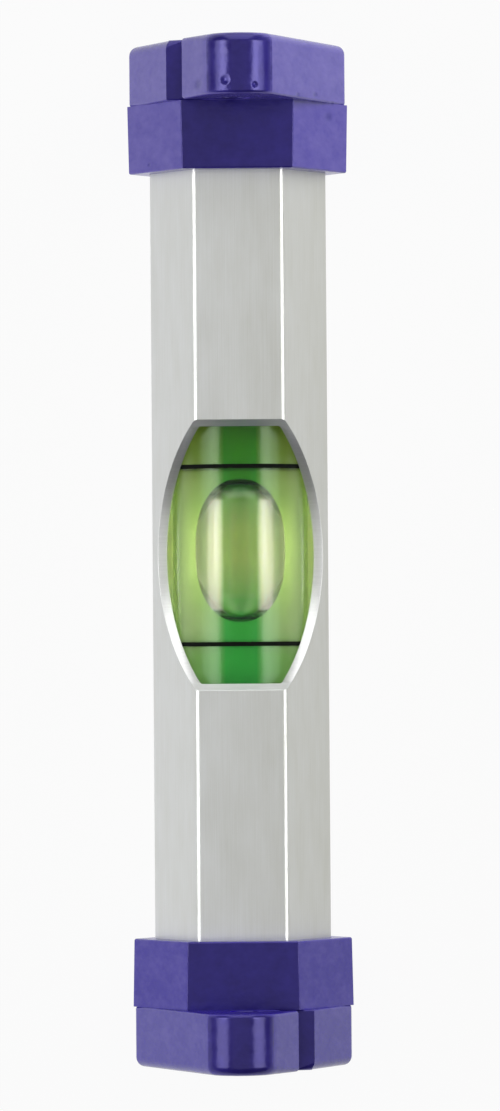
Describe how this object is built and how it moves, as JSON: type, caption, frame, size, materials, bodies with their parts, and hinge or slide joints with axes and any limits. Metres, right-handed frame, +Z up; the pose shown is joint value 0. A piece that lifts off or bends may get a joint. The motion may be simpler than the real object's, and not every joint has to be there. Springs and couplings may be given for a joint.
{
  "type": "line level",
  "caption": "Line level: a hexagonal aluminium tube with a green spirit vial in a milled window and a moulded plastic hook cap on each end, for hanging on a stretched string.",
  "frame": {"origin": "centre of the object's box in plan, on the plane that the lower flats of both collars rest on", "axes": "+X along the tube towards the right cap, +Z up through the vial window towards the string, +Y completes a right-handed frame"},
  "size_m": [0.0762, 0.0164, 0.0207],
  "materials": {
    "brushed_aluminium": "brushed along the tube, bright rounded corners, clear anodised",
    "purple_plastic": "moulded, half gloss, with small mould marks",
    "clear_acrylic": "clear and polished",
    "black_line": "painted into a fine groove",
    "green_liquid": "clear yellow-green liquid",
    "bubble_air": "air, seen by its surface in the liquid",
    "clear_adhesive": "cured, cloudy"
  },
  "bodies": {
    "level": {"body_tube": "brushed_aluminium", "end_cap_left": "purple_plastic", "end_cap_right": "purple_plastic", "vial_barrel": "clear_acrylic", "vial_plug": "clear_acrylic", "reading_line_left": "black_line", "reading_line_right": "black_line", "vial_liquid": "green_liquid", "vial_adhesive_left": "clear_adhesive", "vial_adhesive_right": "clear_adhesive"},
    "bubble": {"bubble": "bubble_air"}
  },
  "joints": [
    {"name": "bubble_slide", "type": "slide", "parent": "level", "child": "bubble", "axis": [1, 0, 0], "range_m": [-0.0065, 0.0065], "stiffness_N_per_m": 0.002}
  ]
}
